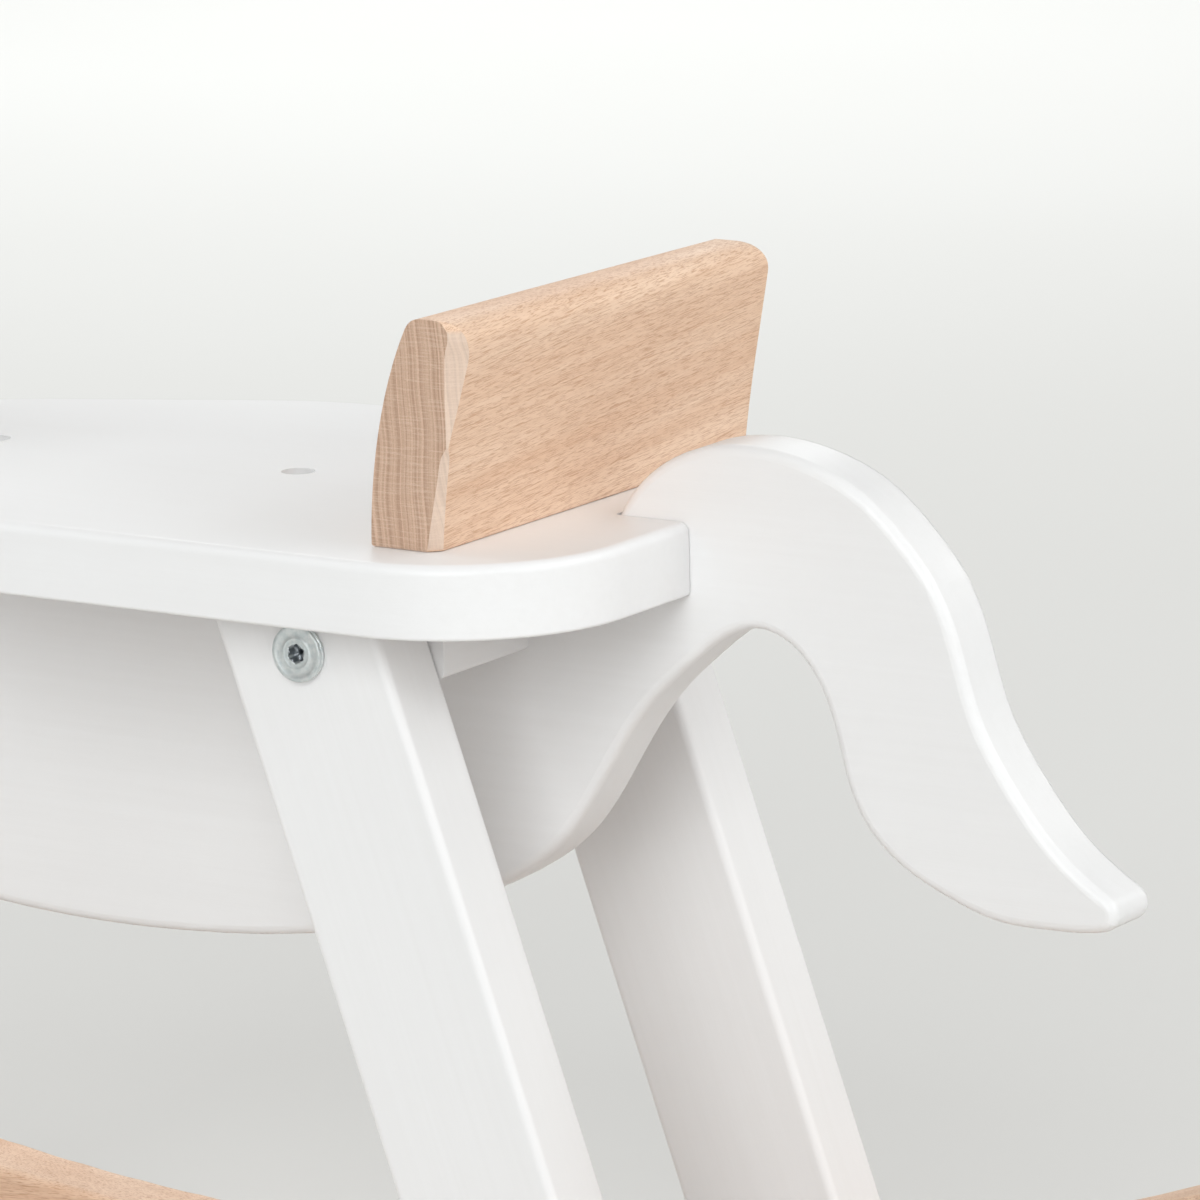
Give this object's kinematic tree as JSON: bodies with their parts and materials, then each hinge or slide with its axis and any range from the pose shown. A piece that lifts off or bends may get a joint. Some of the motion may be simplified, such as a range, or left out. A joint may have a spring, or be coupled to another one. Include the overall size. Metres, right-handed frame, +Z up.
{
  "type": "rocking horse",
  "caption": "Wooden rocking horse: one flat profile board as head, body and tail, a white slotted seat with a beech backrest, slanting legs and curved beech rockers.",
  "frame": {"origin": "on the floor, in the middle plane, under the lowest line of the rockers, which is the middle of the whole length", "axes": "+X towards the head, +Y to the horse's left, +Z up"},
  "size_m": [0.7196, 0.244, 0.5584],
  "materials": {
    "painted_wood": "satin white paint over a fine wood grain",
    "beech": "clear-oiled beech with fine dark flecks",
    "zinc_steel": "turned, zinc-plated",
    "stop_rubber": "matt",
    "eye_plastic": "polished dome"
  },
  "bodies": {
    "root": {"body_panel": "painted_wood", "seat": "painted_wood", "leg_front_left": "painted_wood", "leg_front_right": "painted_wood", "leg_rear_left": "painted_wood", "leg_rear_right": "painted_wood", "corner_block_front_left": "painted_wood", "corner_block_front_right": "painted_wood", "corner_block_rear_left": "painted_wood", "corner_block_rear_right": "painted_wood", "backrest": "beech", "rocker_left": "beech", "rocker_right": "beech", "rocker_rail_front": "beech", "rocker_rail_rear": "beech", "handle_bar": "beech", "footrest_bar": "beech", "leg_dowels": "beech", "leg_screws": "zinc_steel", "rocker_screws": "zinc_steel", "rail_screws": "zinc_steel", "seat_screws": "zinc_steel", "block_screws": "zinc_steel", "seat_block_screws": "zinc_steel", "backrest_screws": "zinc_steel", "handle_screw": "zinc_steel", "footrest_screws": "zinc_steel", "rocker_stops": "stop_rubber", "eye_plug": "eye_plastic"}
  },
  "joints": []
}
